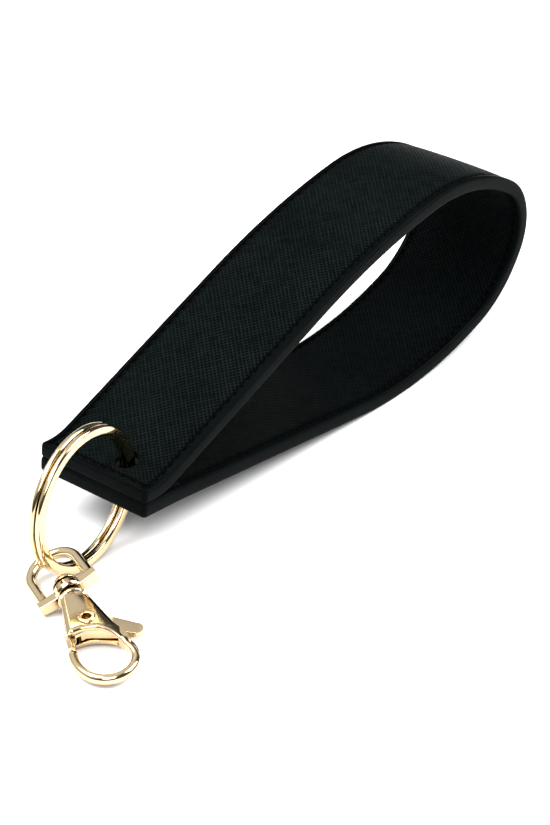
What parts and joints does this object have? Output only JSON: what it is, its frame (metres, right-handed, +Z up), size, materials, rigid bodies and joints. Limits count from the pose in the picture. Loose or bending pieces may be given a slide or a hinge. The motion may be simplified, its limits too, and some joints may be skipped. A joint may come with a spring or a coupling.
{
  "type": "wristlet keychain",
  "caption": "Padded leather wristlet loop with stitched, painted edges, carrying a split ring and a swivelling trigger snap hook.",
  "frame": {"origin": "on the surface the object lies on, under the middle of its overall box", "axes": "+X along the strap from the hardware to the far end of the loop, +Y across the strap, +Z up"},
  "size_m": [0.1636, 0.051, 0.0434],
  "materials": {
    "leather": "cross-hatched grain leather, near black with a green cast, semi-matt",
    "lining": "cross-hatched grain leather on the inside of the loop",
    "stiffener": "dense bonded fibre board, hidden",
    "edge_paint": "satin black edge coat, smooth and crowned",
    "thread": "black bonded polyester thread",
    "ring_metal": "polished pale gold plating",
    "gold_metal": "polished pale gold plating on a zinc casting",
    "spring_steel": "bright spring wire"
  },
  "bodies": {
    "strap": {"outer_leather": "leather", "stiffener": "stiffener", "lining_leather": "lining", "left_edge_paint": "edge_paint", "right_edge_paint": "edge_paint", "upper_end_paint": "edge_paint", "lower_end_paint": "edge_paint", "left_top_thread": "thread", "right_top_thread": "thread", "left_bobbin_thread": "thread", "right_bobbin_thread": "thread", "end_thread": "thread"},
    "ring": {"split_ring": "ring_metal"},
    "eye": {"swivel_eye": "gold_metal"},
    "hook": {"hook_body": "gold_metal", "swivel_post": "gold_metal", "pivot_pin": "gold_metal", "lever_spring": "spring_steel"},
    "gate": {"lever": "gold_metal"}
  },
  "joints": [
    {"name": "ring_turn", "type": "hinge", "parent": "strap", "child": "ring", "pos_m": [-0.05367, 0.00645, 0.0153], "axis": [0.0906, -0.9959, 0], "range_deg": [-150, 40]},
    {"name": "eye_swing", "type": "hinge", "parent": "ring", "child": "eye", "pos_m": [-0.06209, 0.00568, 0.00399], "axis": [0.7977, 0.0726, -0.5987], "range_deg": [-20, 140]},
    {"name": "hook_swivel", "type": "hinge", "parent": "eye", "child": "hook", "pos_m": [-0.06617, -0.0009, 0.0038], "axis": [-0.4951, -0.8645, -0.0872], "continuous": true},
    {"name": "gate_open", "type": "hinge", "parent": "hook", "child": "gate", "pos_m": [-0.07107, -0.01015, 0.00291], "axis": [-0.1158, -0.0338, 0.9927], "range_deg": [0, 33], "stiffness_Nm_per_rad": 0.05}
  ]
}
